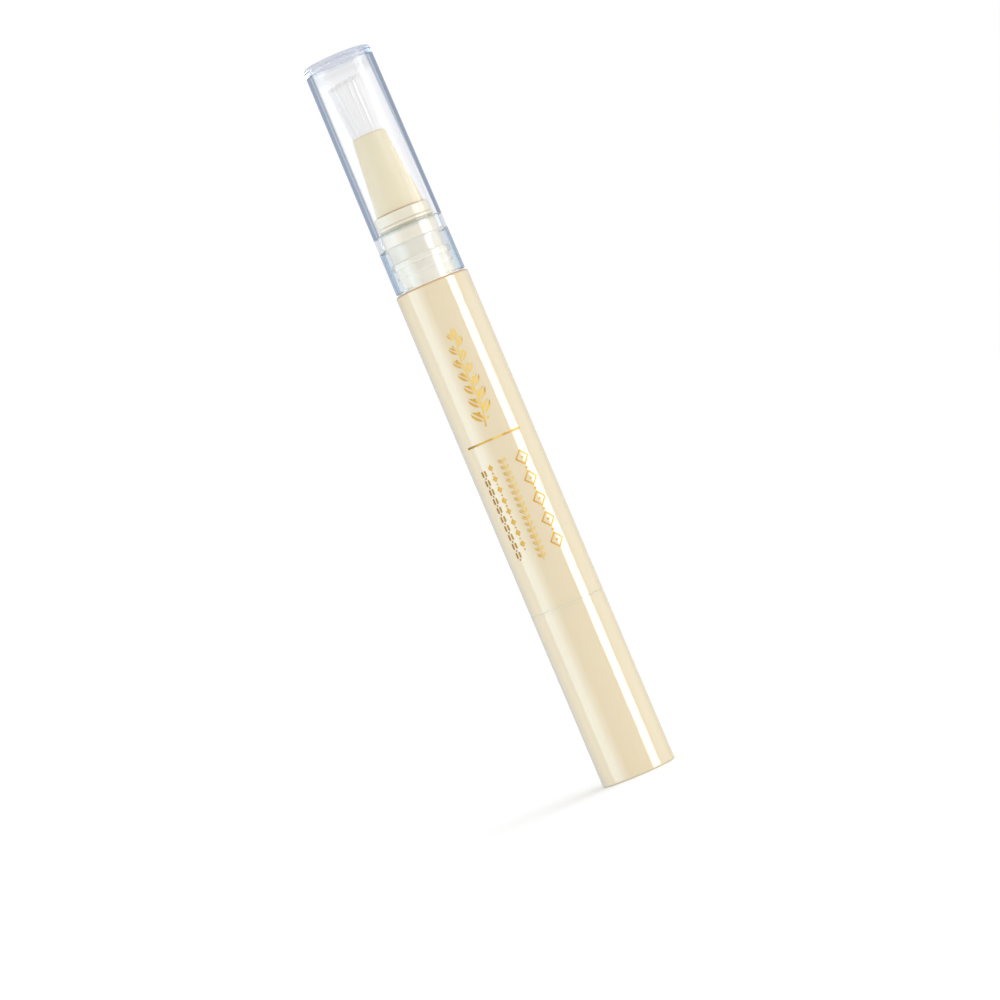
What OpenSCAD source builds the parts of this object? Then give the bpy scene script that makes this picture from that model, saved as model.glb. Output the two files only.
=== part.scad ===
// Twist-up cuticle oil pen, millimetres, +Z up. It stands on its knob with the cap on.
// The origin is the middle of the knob's flat end. Turning the knob anticlockwise,
// seen from the cap, screws the piston up and pushes oil into the brush.

/* [Barrel and knob] */
// Outside diameter of the barrel and the knob
pen_d = 14; // [13.6:0.1:18]
// Wall of the barrel
barrel_wall = 1.5; // [1.2:0.05:1.7]
// Rounding of the barrel's mouth
barrel_edge_r = 0.5; // [0.2:0.05:0.8]
// Wall of the knob
knob_wall = 1.2; // [0.8:0.05:1.3]
// Floor of the knob
knob_floor = 1.6; // [1:0.1:3]
// Rounding of the knob's lower edge
knob_edge_r = 0.4; // [0.2:0.05:1]
// Gap between the knob and the barrel
joint_gap = 0.12; // [0.05:0.01:0.3]
// Rounding of the two edges at that gap
joint_edge_r = 0.1; // [0.05:0.01:0.2]

/* [Reservoir and piston] */
// Wall of the reservoir
reservoir_wall = 1.2; // [0.8:0.05:1.3]
// Length of the piston
piston_len = 7; // [6:0.1:10]
// Height of each sealing lip
lip_len = 1.6; // [1:0.1:2.2]
// Depth of the waist between the lips
piston_waist = 0.55; // [0.3:0.05:0.8]

/* [Screw] */
// Advance of the screw in one turn
lead = 3.25; // [2.5:0.05:4.5]
// Turns from full to empty
turns = 10; // [6:0.5:14]
// Diameter over the thread
rod_d = 4.6; // [4.2:0.1:4.8]
// Depth of the thread
thread_depth = 0.7; // [0.4:0.05:0.9]
// Width over the screw's two flats
rod_flats = 3.2; // [2.8:0.1:3.4]
// Length of the nut
nut_len = 6; // [4:0.1:9]
// Length of screw left in its key at the end of travel
key_hold = 6.1; // [3:0.1:9]
// Plain foot of the screw below its thread
foot_len = 4.6; // [1:0.1:5.8]
// Space under the screw's foot
foot_gap = 0.8; // [0.3:0.1:3]
// Diameter of the screw's neck in the piston
rod_neck_d = 3; // [2.4:0.1:3.2]
// Diameter of the screw's head in the piston
rod_head_d = 4.4; // [4:0.1:4.6]
// Height of that neck
rod_neck_len = 2; // [1.4:0.1:2.6]
// Height of that head
rod_head_len = 1.8; // [1:0.1:2.4]

/* [Ratchet] */
// Number of ratchet teeth
teeth = 12; // [8:1:16]
// Height of a tooth
tooth_h = 0.8; // [0.4:0.05:1.2]
// Thickness of the ratchet ring under its teeth
ratchet_len = 1.6; // [1:0.1:3]
// Width of the ring's four lugs
lug_w = 1.2; // [0.8:0.1:1.6]
// Wall of the key stem round the screw
stem_wall = 1.08; // [0.9:0.02:1.1]
// Wire of the ratchet spring
wire_d = 0.5; // [0.3:0.05:0.6]
// Turns of the ratchet spring
spring_turns = 5; // [3:0.5:8]
// Pitch of the ratchet spring
spring_pitch = 1.05; // [1.02:0.01:1.6]
// Length of the bearing bush in the barrel
bush_len = 4; // [3:0.1:7]
// Length of the bush's toothed boss below the barrel
boss_len = 1.6; // [1:0.1:3]
// Length of the snap bead above the bush
snap_len = 1; // [0.6:0.1:2]
// Stand-out of that bead
snap_h = 0.45; // [0.2:0.05:0.7]
// Length of the stem above the bead
stem_tip_len = 2.5; // [1:0.1:5]
// Thickness of the sleeve's floor under the spring
sleeve_floor = 1.5; // [1:0.1:3]

/* [Neck] */
// Length of the neck's plug in the reservoir
plug_len = 7.2; // [5:0.1:10]
// Length of the shoulder that closes the barrel
shoulder_len = 1.5; // [1:0.1:3]
// Length of the neck under the collar
neck_len = 11.5; // [10.5:0.1:15]
// Depth of the relief between the neck's rings
neck_relief = 0.2; // [0.1:0.02:0.4]
// Depth of the socket that takes the tip
socket_depth = 10; // [7:0.1:10.4]
// Diameter of that socket
socket_d = 7; // [6.4:0.1:8]
// Thickness of the seals' rubber cord
seal_d = 1; // [0.7:0.05:1.2]

/* [Tip and brush] */
// Height of the collar under the cone
collar_len = 2.7; // [1.5:0.1:4]
// Length of the cone
cone_len = 14.9; // [12:0.1:20]
// Diameter of the cone at the collar
cone_base_d = 9.2; // [8:0.1:10]
// Diameter of the cone at the brush
cone_tip_d = 6.3; // [6.2:0.1:7]
// Diameter of the bore that holds the brush
brush_bore_d = 5.8; // [5:0.1:5.9]
// Depth of the brush's root in that bore
root_depth = 4; // [2.5:0.1:6]
// Thickness of the slice that the bristles are fused to
slice_len = 1; // [0.6:0.1:2]
// Length of bristle beyond the cone
brush_len = 10.7; // [6:0.1:16]
// Diameter of the brush at its end
brush_end_d = 6.5; // [5.6:0.1:8]
// Slope of the brush's end, as a rise over its width
brush_slant = 0.7; // [0:0.1:2]
// Length of the bush under the brush
brush_bush_len = 9; // [4:0.1:10]
// Outside diameter of the feed tube
tube_d = 1.2; // [0.9:0.05:1.3]
// Bore of the feed tube
tube_bore = 0.6; // [0.3:0.05:0.8]

/* [Cap] */
// How far the cap's mouth stands in from the barrel's side
cap_mouth_inset = 0.3; // [0:0.05:0.4]
// How far the cap's closed end stands in from the barrel's side
cap_end_inset = 0.55; // [0:0.05:0.65]
// Wall of the cap
cap_wall = 1.15; // [0.9:0.05:1.25]
// Wall of the cap at its mouth
cap_mouth_wall = 0.7; // [0.5:0.05:0.8]
// Depth of that thinner mouth
cap_mouth_depth = 7.8; // [6.5:0.1:8.2]
// Thickness of the cap's closed end
cap_end = 1.6; // [0.8:0.1:3]
// Rounding of the closed end's edge
cap_edge_r = 0.8; // [0.3:0.05:1]
// Free space above the brush
brush_room = 2.6; // [1:0.1:8]
// Stand-in of the cap's snap bead
cap_bead = 0.15; // [0.08:0.01:0.25]
// Length of the cap's snap bead
cap_bead_len = 2.5; // [1.5:0.1:2.9]
// Gap between the cap and the barrel
cap_gap = 0.25; // [0.1:0.05:0.5]

/* [Hidden] */

// Clearances, each on a radius or on a length
press_gap = 0.02;      // a piece pressed into its seat
run_gap = 0.06;        // a shaft in its bearing
thread_gap = 0.12;     // the screw in its nut and its key
rest_gap = 0.3;        // moving pieces at the end of their travel
snap_gap = 0.15;       // the screw's head and the stem's bead in their seats
slide_gap = 0.08;      // the cap over the neck
ring_gap = 0.3;        // the neck's guide ring inside the cap's mouth
click_gap = 0.1;       // the two crowns of teeth, at the top of a click
spring_gap = 0.35;     // the spring round its stem
reservoir_gap = 0.1;   // the reservoir inside the barrel
over = 0.5;            // how far a cut runs past what it cuts

// Colours as the photograph shows them, and plain ones inside
cream = [0.94, 0.89, 0.77];
pale_cream = [0.95, 0.92, 0.83];
clear = [0.8, 0.87, 0.93, 0.35];
nylon = [0.95, 0.95, 0.95];
natural = [0.9, 0.9, 0.87];
acetal = [0.82, 0.83, 0.84];
steel = [0.62, 0.63, 0.65];
nitrile = [0.16, 0.16, 0.17];

// Radii from the middle outwards
pen_r = pen_d / 2;
bore_r = pen_r - barrel_wall;
knob_bore_r = pen_r - knob_wall;
reservoir_r = bore_r - reservoir_gap;
fill_r = reservoir_r - reservoir_wall;
thread_r = rod_d / 2;
thread_mean_r = thread_r - thread_depth / 2;
thread_swing = thread_depth / 2;
flat_half = rod_flats / 2;
key_r = thread_r + thread_gap;
stem_r = key_r + stem_wall;
spring_in_r = stem_r + spring_gap;
spring_r = spring_in_r + wire_d / 2;
skirt_r = knob_bore_r - press_gap;
crown_r = spring_in_r + wire_d + spring_gap;
skirt_in_r = crown_r + spring_gap / 2;
tube_r = tube_d / 2;
socket_r = socket_d / 2;
brush_bore_r = brush_bore_d / 2;
seal_r = seal_d / 2;

// Heights from the knob's flat end upwards
stroke = lead * turns;
rod_z = knob_floor + foot_gap;
key_top_z = rod_z + stroke + key_hold;
stem_rise = bush_len + snap_gap + snap_len + stem_tip_len;
barrel_z = key_top_z - stem_rise;
knob_len = barrel_z - joint_gap;
snap_z = barrel_z + bush_len + snap_gap;
boss_z = barrel_z - boss_len;
crown_z = boss_z - tooth_h - click_gap;
ratchet_z = crown_z - tooth_h - ratchet_len;
spring_len = spring_turns * spring_pitch + wire_d;
sleeve_floor_z = ratchet_z - spring_len - 2 * press_gap;
sleeve_z = sleeve_floor_z - sleeve_floor;
nut_z = key_top_z + rest_gap;
nut_top_z = nut_z + nut_len;
piston_z = nut_top_z + rest_gap;
piston_top_z = piston_z + piston_len;
plug_z = piston_top_z + stroke + rest_gap;
shoulder_z = plug_z + plug_len;
barrel_top_z = shoulder_z + shoulder_len;
collar_z = barrel_top_z + neck_len;
cone_z = collar_z + collar_len;
cone_top_z = cone_z + cone_len;
slice_z = cone_top_z - root_depth;
bristle_z = slice_z + slice_len;
brush_top_z = cone_top_z + brush_len;
cap_z = barrel_top_z + cap_gap;
cap_inner_z = brush_top_z + brush_slant / 2 + brush_room;
cap_top_z = cap_inner_z + cap_end;
socket_z = collar_z - socket_depth;
bush_z = slice_z - brush_bush_len;

// The cap's sides, its bead, and what passes through it when the cap is pulled off
cap_mouth_r = pen_r - cap_mouth_inset;
cap_end_r = pen_r - cap_end_inset;
cap_step_z = cap_z + cap_mouth_depth;
bead_z = cap_step_z + (cap_wall - cap_mouth_wall);
bead_top_z = bead_z + cap_bead_len;
function cap_outer_r(z) =
    cap_mouth_r + (cap_end_r - cap_mouth_r) * (z - cap_z) / (cap_top_z - cap_z);
bead_r = cap_outer_r(bead_top_z) - cap_wall - cap_bead;
collar_r = bead_r - slide_gap;
neck_r = collar_r - neck_relief;
guide_r = cap_mouth_r - cap_mouth_wall - ring_gap;

// Key ribs in the barrel and the knob, which stop what is pressed in from turning
rib_count = 4;
rib_w = 0.8;
rib_h = 0.3;
rib_gap = 0.05;
round_fn = 96;
corner_steps = 6;

function arc(x, z, r, from, to) = [
    for (i = [0:corner_steps])
        let (a = from + (to - from) * i / corner_steps)
            [x + r * cos(a), z + r * sin(a)]
];
function joined(lists) = [for (list = lists) for (item = list) item];
function held(x, most) = min(max(x, -most), most);

// A turned shape from its half outline
module turned(outline) {
    rotate_extrude($fn = round_fn) polygon(outline);
}

// A plain tube between two heights
module tube(r_out, r_in, from, to) {
    rotate_extrude($fn = round_fn)
        translate([r_in, from]) square([r_out - r_in, to - from]);
}

// Straight bars round the axis that stand in from a bore, or cut its partner's notches
module key_bars(r, in_h, out_h, w, from, to) {
    for (i = [0:rib_count - 1])
        rotate([0, 0, i * 360 / rib_count])
            translate([r - in_h, -w / 2, from])
                cube([in_h + out_h, w, to - from]);
}

// A closed skin over a stack of rings, each a list of points going anticlockwise
module skin(rings) {
    n = len(rings[0]);
    last = len(rings) - 1;
    polyhedron(points = joined(rings), faces = concat(
        [[for (i = [0:n - 1]) i]],
        [[for (i = [n - 1:-1:0]) last * n + i]],
        [for (k = [0:last - 1], i = [0:n - 1])
            [k * n + i, (k + 1) * n + i, (k + 1) * n + (i + 1) % n]],
        [for (k = [0:last - 1], i = [0:n - 1])
            [k * n + i, (k + 1) * n + (i + 1) % n, k * n + (i + 1) % n]]
    ));
}

// A crown of saw teeth on the height 0, pointing up, that lets a turn to the left slip
module saw_teeth(r_in, r_out) {
    step = 360 / teeth;
    width = 2 * PI * r_out / teeth;
    intersection() {
        tube(r_out, r_in, -click_gap, tooth_h);
        for (i = [0:teeth - 1])
            rotate([0, 0, i * step]) rotate([90, 0, 90])
                linear_extrude(r_out + over)
                    polygon([[0, -click_gap], [width, -click_gap], [width, 0], [0, tooth_h]]);
    }
}

// Cross-sections of the thread: a circle whose middle goes round the axis once a lead
thread_sides = 16;
thread_steps = 12;
function thread_ring(z, r, swing, half) = [
    for (i = [0:thread_sides - 1])
        let (a = 90 + 360 * i / thread_sides, t = 360 * (z - nut_z) / lead)
            [held(swing * cos(t) + r * cos(a), half), swing * sin(t) + r * sin(a), z]
];
function thread_heights(from, to) =
    let (n = ceil((to - from) / lead * thread_steps))
        [for (i = [0:n]) from + (to - from) * i / n];

module twist_knob() {
    color(cream) {
        turned(concat(
            [[0, 0]],
            arc(pen_r - knob_edge_r, knob_edge_r, knob_edge_r, -90, 0),
            arc(pen_r - joint_edge_r, knob_len - joint_edge_r, joint_edge_r, 0, 90),
            [[knob_bore_r, knob_len], [knob_bore_r, knob_floor], [0, knob_floor]]
        ));
        key_bars(knob_bore_r, rib_h, knob_wall / 2, rib_w, knob_floor / 2, sleeve_top_z);
    }
}

// The sleeve is pressed into the knob. Its stem runs up through the bush and turns the screw.
sleeve_top_z = knob_len - rest_gap;
key_len = key_hold + snap_len;
module drive_sleeve() {
    color(acetal) difference() {
        union() {
            tube(skirt_r, skirt_in_r, sleeve_z, sleeve_top_z);
            tube(skirt_in_r + press_gap, 0, sleeve_z, sleeve_floor_z);
            turned([
                [0, sleeve_z + press_gap],
                [stem_r, sleeve_z + press_gap],
                [stem_r, snap_z],
                [stem_r + snap_h, snap_z],
                [stem_r + snap_h, snap_z + snap_len / 2],
                [stem_r, snap_z + snap_len],
                [stem_r, key_top_z],
                [0, key_top_z]
            ]);
        }
        // plain bore, and the key that fits the screw's flats above it
        translate([0, 0, sleeve_z - over])
            cylinder(r = key_r, h = key_top_z - key_len - sleeve_z + over, $fn = round_fn);
        translate([0, 0, key_top_z - key_len - over])
            linear_extrude(key_len + 2 * over)
                intersection() {
                    circle(r = key_r, $fn = round_fn);
                    square([2 * (flat_half + thread_gap), 2 * key_r], center = true);
                }
        // notches for the knob's ribs, and slots for the ratchet ring's lugs
        key_bars(skirt_r, rib_h + rib_gap, over, rib_w + 2 * rib_gap, sleeve_z - over, sleeve_top_z + over);
        rotate([0, 0, 180 / rib_count])
            key_bars(skirt_r, skirt_r - skirt_in_r + over, over, lug_w + 2 * run_gap,
                ratchet_z - 2 * tooth_h, sleeve_top_z + over);
    }
}

module ratchet_ring() {
    color(natural) {
        translate([0, 0, crown_z - tooth_h]) saw_teeth(stem_r + snap_gap, crown_r);
        tube(crown_r, stem_r + snap_gap, ratchet_z, crown_z - tooth_h);
        rotate([0, 0, 180 / rib_count])
            key_bars(crown_r, (crown_r - stem_r) / 2, skirt_r - crown_r - rest_gap / 2, lug_w,
                ratchet_z, crown_z - tooth_h);
    }
}

// One unbroken wire, with its open ends cut square
spring_sides = 8;
spring_steps = 16;
spring_points = [
    for (i = [0:spring_turns * spring_steps])
        let (t = 360 * i / spring_steps)
            [spring_r * cos(t), spring_r * sin(t),
             sleeve_floor_z + press_gap + wire_d / 2 + spring_pitch * i / spring_steps]
];
// Least distance between the wire's middle lines one turn apart, less the wire
spring_self_gap = min([
    for (i = [0:len(spring_points) - 1 - spring_steps], j = [-2:2])
        if (i + spring_steps + j < len(spring_points))
            norm(spring_points[i + spring_steps + j] - spring_points[i])
]) - wire_d;
echo(spring_self_gap = spring_self_gap);
module ratchet_spring() {
    rise = spring_pitch / 360;
    run = 2 * PI * spring_r / 360;
    slope = atan2(rise, run);
    color(steel) skin([
        for (i = [0:len(spring_points) - 1])
            let (t = 360 * i / spring_steps, p = spring_points[i])
                [for (k = [0:spring_sides - 1])
                    let (
                        a = -360 * k / spring_sides,
                        along = wire_d / 2 * cos(a),
                        up = wire_d / 2 * sin(a)
                    )
                        p + [
                            along * cos(t) + up * sin(slope) * sin(t),
                            along * sin(t) - up * sin(slope) * cos(t),
                            up * cos(slope)
                        ]]
    ]);
}

module bearing_bush() {
    color(natural) difference() {
        union() {
            tube(bore_r - press_gap, stem_r + run_gap, barrel_z, barrel_z + bush_len);
            tube(crown_r, stem_r + run_gap, boss_z, barrel_z + bush_len / 2);
            translate([0, 0, boss_z]) rotate([180, 0, 0]) saw_teeth(stem_r + run_gap, crown_r);
        }
        key_bars(bore_r, rib_h + rib_gap, over, rib_w + 2 * rib_gap,
            barrel_z - over, barrel_z + bush_len + over);
    }
}

module thread_nut() {
    color(natural) difference() {
        translate([0, 0, nut_z]) cylinder(r = bore_r - press_gap, h = nut_len, $fn = round_fn);
        skin([for (z = thread_heights(nut_z - over, nut_top_z + over))
            thread_ring(z, thread_mean_r + thread_gap, thread_swing, thread_r + over)]);
        key_bars(bore_r, rib_h + rib_gap, over, rib_w + 2 * rib_gap, nut_z - over, nut_top_z + over);
    }
}

// The screw: plain foot, thread with two flats, then the neck and head that snap in the piston
thread_z = rod_z + foot_len;
rod_neck_z = nut_top_z + rest_gap / 2;
rod_head_z = rod_neck_z + rod_neck_len;
rod_top_z = rod_head_z + rod_head_len;
module screw_rod() {
    chamfer = thread_depth / 2;
    foot_r = thread_mean_r - thread_swing;
    neck_r = rod_neck_d / 2;
    head_r = rod_head_d / 2;
    color(acetal) skin(concat(
        [thread_ring(rod_z, foot_r - chamfer, 0, flat_half)],
        [thread_ring(rod_z + chamfer, foot_r, 0, flat_half)],
        [thread_ring(thread_z - chamfer, foot_r, 0, flat_half)],
        [for (z = thread_heights(thread_z, rod_neck_z))
            thread_ring(z, thread_mean_r, thread_swing, flat_half)],
        [thread_ring(rod_neck_z + press_gap, neck_r, 0, neck_r)],
        [thread_ring(rod_head_z, neck_r, 0, neck_r)],
        [thread_ring(rod_head_z + press_gap, head_r, 0, head_r)],
        [thread_ring(rod_top_z - chamfer, head_r, 0, head_r)],
        [thread_ring(rod_top_z, head_r - chamfer, 0, head_r)]
    ));
}

module piston() {
    lip_r = fill_r - run_gap;
    waist_r = fill_r - piston_waist;
    lip_edge = piston_waist / 3;
    hole_r = rod_neck_d / 2 + snap_gap;
    nest_r = rod_head_d / 2 + snap_gap;
    nest_z = rod_head_z - snap_gap;
    nest_top_z = rod_top_z + snap_gap;
    color(natural) turned([
        [hole_r, piston_z],
        [waist_r, piston_z],
        [lip_r - lip_edge, piston_z],
        [lip_r, piston_z + lip_edge],
        [waist_r, piston_z + lip_len],
        [waist_r, piston_top_z - lip_len],
        [lip_r, piston_top_z - lip_edge],
        [lip_r - lip_edge, piston_top_z],
        [0, piston_top_z],
        [0, nest_top_z],
        [nest_r, nest_top_z],
        [nest_r, nest_z],
        [hole_r, nest_z]
    ]);
}

module barrel() {
    color(cream) {
        turned(concat(
            [[bore_r, barrel_z]],
            arc(pen_r - joint_edge_r, barrel_z + joint_edge_r, joint_edge_r, -90, 0),
            arc(pen_r - barrel_edge_r, barrel_top_z - barrel_edge_r, barrel_edge_r, 0, 90),
            [[bore_r, barrel_top_z]]
        ));
        key_bars(bore_r, rib_h, barrel_wall / 2, rib_w, barrel_z + rib_gap, nut_top_z - rib_gap);
    }
}

module reservoir() {
    color(natural) tube(reservoir_r, fill_r, nut_top_z, shoulder_z);
}

// A groove for a seal, as four points going down the outside of a plug of radius r
function groove(r, z) = [
    [r, z + seal_r + press_gap],
    [r - seal_d - press_gap, z + seal_r + press_gap],
    [r - seal_d - press_gap, z - seal_r - press_gap],
    [r, z - seal_r - press_gap]
];
module seal(r, z) {
    color(nitrile) rotate_extrude($fn = round_fn)
        translate([r - seal_r, z]) circle(r = seal_r, $fn = round_fn);
}

// The neck: its plug closes the reservoir, its shoulder the barrel, and its rings guide the cap
plug_r = fill_r - press_gap;
neck_seal_z = plug_z + seal_d * 2;
thin_ring_share = 0.33;      // place of the lower ring along the cap's mouth
guide_ring_share = 0.55;     // place of the upper ring
thin_ring_z = barrel_top_z + thin_ring_share * cap_mouth_depth;
guide_ring_z = barrel_top_z + guide_ring_share * cap_mouth_depth;
ring_len = 0.9;
thin_ring_len = ring_len / 2;
thin_ring_r = (neck_r + guide_r) / 2;
module neck_fitting() {
    slope = guide_r - neck_r;
    land = neck_relief;
    color(pale_cream) turned(concat(
        [
            [tube_r + press_gap, socket_z],
            [socket_r, socket_z],
            [socket_r, collar_z],
            [neck_r, collar_z],
            [neck_r, bead_top_z + land],
            [collar_r, bead_top_z],
            [collar_r, bead_z],
            [neck_r, bead_z - land],
            [neck_r, guide_ring_z + ring_len + slope / 2],
            [guide_r, guide_ring_z + ring_len],
            [guide_r, guide_ring_z],
            [neck_r, guide_ring_z],
            [neck_r, thin_ring_z + thin_ring_len],
            [thin_ring_r, thin_ring_z + thin_ring_len],
            [thin_ring_r, thin_ring_z],
            [neck_r, thin_ring_z],
            [neck_r, barrel_top_z],
            [bore_r - press_gap, barrel_top_z],
            [bore_r - press_gap, shoulder_z],
            [plug_r, shoulder_z]
        ],
        groove(plug_r, neck_seal_z),
        [[plug_r, plug_z], [tube_r + press_gap, plug_z]]
    ));
}
module neck_seal() {
    seal(plug_r, neck_seal_z);
}

// The tip: a plug in the neck, the collar on it, and the cone that holds the brush
tip_plug_r = socket_r - press_gap;
tip_plug_z = socket_z + rest_gap * 2;
tip_seal_z = tip_plug_z + seal_d * 2;
cone_edge = 0.15;
tip_cavity_r = tip_plug_r - seal_d - press_gap - cone_edge * 3;
collar_groove_z = collar_z + collar_len / 4;
module tip_cone() {
    color(cream) turned(concat(
        [
            [tip_cavity_r, tip_plug_z],
            [tip_cavity_r, bush_z],
            [brush_bore_r, bush_z],
            [brush_bore_r, cone_top_z],
            [cone_tip_d / 2 - cone_edge, cone_top_z],
            [cone_tip_d / 2, cone_top_z - cone_edge],
            [cone_base_d / 2, cone_z],
            [collar_r - cone_edge, cone_z],
            [collar_r, cone_z - cone_edge],
            [collar_r, collar_groove_z + cone_edge],
            [collar_r - cone_edge, collar_groove_z],
            [collar_r, collar_groove_z - cone_edge],
            [collar_r, collar_z + cone_edge],
            [collar_r - cone_edge, collar_z],
            [tip_plug_r, collar_z]
        ],
        groove(tip_plug_r, tip_seal_z),
        [[tip_plug_r, tip_plug_z]]
    ));
}
module tip_seal() {
    seal(tip_plug_r, tip_seal_z);
}

// The feed tube runs from the reservoir into the middle of the brush
tube_top_z = bristle_z + slice_len;
module feed_tube() {
    color(natural) tube(tube_r, tube_bore / 2, plug_z, tube_top_z);
}
module brush_bush() {
    color(natural) tube(brush_bore_r - press_gap, tube_r + press_gap, bush_z, slice_z);
}

// The brush: cells in rings round the tube's hole. Each cell with its wide side outwards
// grows a three-sided bristle, and the cells between them stay flat, so no two cross.
brush_rings = 12;        // rings of cells out to the rim, a multiple of the core's
core_rings = 3;          // rings left out of the middle, where the tube passes
slice_r = brush_bore_r - run_gap;
strand_share = 0.72;     // side of a bristle beside its cell's
tip_share = 0.45;        // side of its end beside its cell's
stray = 0.05;            // how far an end strays sideways
uneven = 0.35;           // how far an end stands up or down
function cell_point(k, j, r, z) =
    let (a = 360 * j / (6 * k)) [r * k / brush_rings * cos(a), r * k / brush_rings * sin(a), z];
// The start of ring k in the list of a face's points
function ring_at(k) = 3 * k * (k - 1) - 3 * core_rings * (core_rings - 1);
function at(k, j) = ring_at(k) + j % (6 * k);
face_points = [for (k = [core_rings:brush_rings], j = [0:6 * k - 1]) cell_point(k, j, slice_r, bristle_z)];
// Corners of the bristle cells, and of the flat cells between them
cells = [for (k = [core_rings + 1:brush_rings], s = [0:5], i = [0:k - 1])
    [at(k, s * k + i), at(k, s * k + i + 1), at(k - 1, s * (k - 1) + i)]];
gaps = [for (k = [core_rings + 1:brush_rings], s = [0:5], i = [0:k - 2])
    [at(k - 1, s * (k - 1) + i), at(k - 1, s * (k - 1) + i + 1), at(k, s * k + i + 1)]];
draws = rands(-1, 1, 3 * len(cells), 7);
module brush() {
    rim = 6 * brush_rings;
    core = 6 * core_rings;
    n = len(face_points);
    spread = brush_end_d / 2 / slice_r;
    // corners of each bristle where it leaves the cone, and at its end
    leave = [for (c = cells) let (m = (face_points[c[0]] + face_points[c[1]] + face_points[c[2]]) / 3)
        for (v = c) let (p = m + strand_share * (face_points[v] - m)) [p[0], p[1], cone_top_z]];
    ends = [for (q = [0:len(cells) - 1])
        let (
            c = cells[q],
            m = (face_points[c[0]] + face_points[c[1]] + face_points[c[2]]) / 3,
            e = [
                m[0] * spread + stray * draws[3 * q],
                m[1] * spread + stray * draws[3 * q + 1],
                brush_top_z + brush_slant / 2 * m[0] / slice_r - uneven * abs(draws[3 * q + 2])
            ]
        )
            for (v = c) let (p = e + tip_share * (face_points[v] - m)) [p[0], p[1], e[2]]];
    rim_low = [for (j = [0:rim - 1]) cell_point(brush_rings, j, slice_r, slice_z)];
    core_low = [for (j = [0:core - 1]) cell_point(core_rings, j, slice_r, slice_z)];
    a = n;
    b = a + len(leave);
    lo = b + len(ends);
    li = lo + rim;
    ratio = brush_rings / core_rings;
    color(nylon) polyhedron(
        points = concat(face_points, leave, ends, rim_low, core_low),
        faces = concat(
            [for (g = gaps) g],
            [for (q = [0:len(cells) - 1], i = [0:2])
                [cells[q][i], a + 3 * q + i, a + 3 * q + (i + 1) % 3]],
            [for (q = [0:len(cells) - 1], i = [0:2])
                [cells[q][i], a + 3 * q + (i + 1) % 3, cells[q][(i + 1) % 3]]],
            [for (q = [0:len(cells) - 1], i = [0:2])
                [a + 3 * q + i, b + 3 * q + i, b + 3 * q + (i + 1) % 3]],
            [for (q = [0:len(cells) - 1], i = [0:2])
                [a + 3 * q + i, b + 3 * q + (i + 1) % 3, a + 3 * q + (i + 1) % 3]],
            [for (q = [0:len(cells) - 1]) [b + 3 * q + 2, b + 3 * q + 1, b + 3 * q]],
            // the slice's rim, its hole and its underside
            [for (j = [0:rim - 1]) [lo + j, at(brush_rings, j), at(brush_rings, j + 1)]],
            [for (j = [0:rim - 1]) [lo + j, at(brush_rings, j + 1), lo + (j + 1) % rim]],
            [for (j = [0:core - 1]) [li + j, at(core_rings, j + 1), at(core_rings, j)]],
            [for (j = [0:core - 1]) [li + j, li + (j + 1) % core, at(core_rings, j + 1)]],
            [for (j = [0:rim - 1]) [lo + j, lo + (j + 1) % rim, li + floor(j / ratio)]],
            [for (j = [0:core - 1]) [li + j, lo + ((j + 1) * ratio) % rim, li + (j + 1) % core]]
        )
    );
}

module cap() {
    mouth_r = cap_mouth_r - cap_mouth_wall;
    end_r = cap_outer_r(cap_inner_z) - cap_wall;
    inner_edge = cap_edge_r / 2;
    mouth_edge = cap_mouth_wall / 4;
    color(clear) turned(concat(
        [
            [mouth_r, cap_z],
            [cap_mouth_r - mouth_edge, cap_z],
            [cap_outer_r(cap_z + mouth_edge), cap_z + mouth_edge]
        ],
        arc(cap_end_r - cap_edge_r, cap_top_z - cap_edge_r, cap_edge_r, 0, 90),
        [[0, cap_top_z], [0, cap_inner_z]],
        arc(end_r - inner_edge, cap_inner_z - inner_edge, inner_edge, 90, 0),
        [
            [bead_r + cap_bead, bead_top_z + cap_bead],
            [bead_r, bead_top_z],
            [bead_r, bead_z],
            [mouth_r, cap_step_z]
        ]
    ));
}

twist_knob();
drive_sleeve();
ratchet_ring();
ratchet_spring();
bearing_bush();
thread_nut();
screw_rod();
piston();
barrel();
reservoir();
neck_fitting();
neck_seal();
tip_cone();
tip_seal();
feed_tube();
brush_bush();
brush();
cap();
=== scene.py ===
import math
import random

import bpy
from mathutils import Matrix, Vector


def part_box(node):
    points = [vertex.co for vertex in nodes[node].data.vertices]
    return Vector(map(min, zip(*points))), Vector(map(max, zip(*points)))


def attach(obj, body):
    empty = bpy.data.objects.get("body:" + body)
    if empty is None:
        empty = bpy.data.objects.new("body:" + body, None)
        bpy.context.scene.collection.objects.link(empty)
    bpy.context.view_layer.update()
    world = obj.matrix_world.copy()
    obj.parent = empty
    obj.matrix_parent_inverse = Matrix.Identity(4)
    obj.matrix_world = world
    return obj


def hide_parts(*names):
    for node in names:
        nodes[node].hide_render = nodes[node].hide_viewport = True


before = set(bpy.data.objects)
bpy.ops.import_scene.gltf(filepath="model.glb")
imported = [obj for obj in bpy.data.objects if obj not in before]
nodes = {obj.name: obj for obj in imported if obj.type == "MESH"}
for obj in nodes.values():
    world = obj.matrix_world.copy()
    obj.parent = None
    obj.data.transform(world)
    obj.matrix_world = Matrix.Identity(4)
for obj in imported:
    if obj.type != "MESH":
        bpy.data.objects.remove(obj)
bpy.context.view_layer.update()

MM = 0.001
UPRIGHT = (math.radians(90), 0, 0)


# Sizes read from the frame

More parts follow.
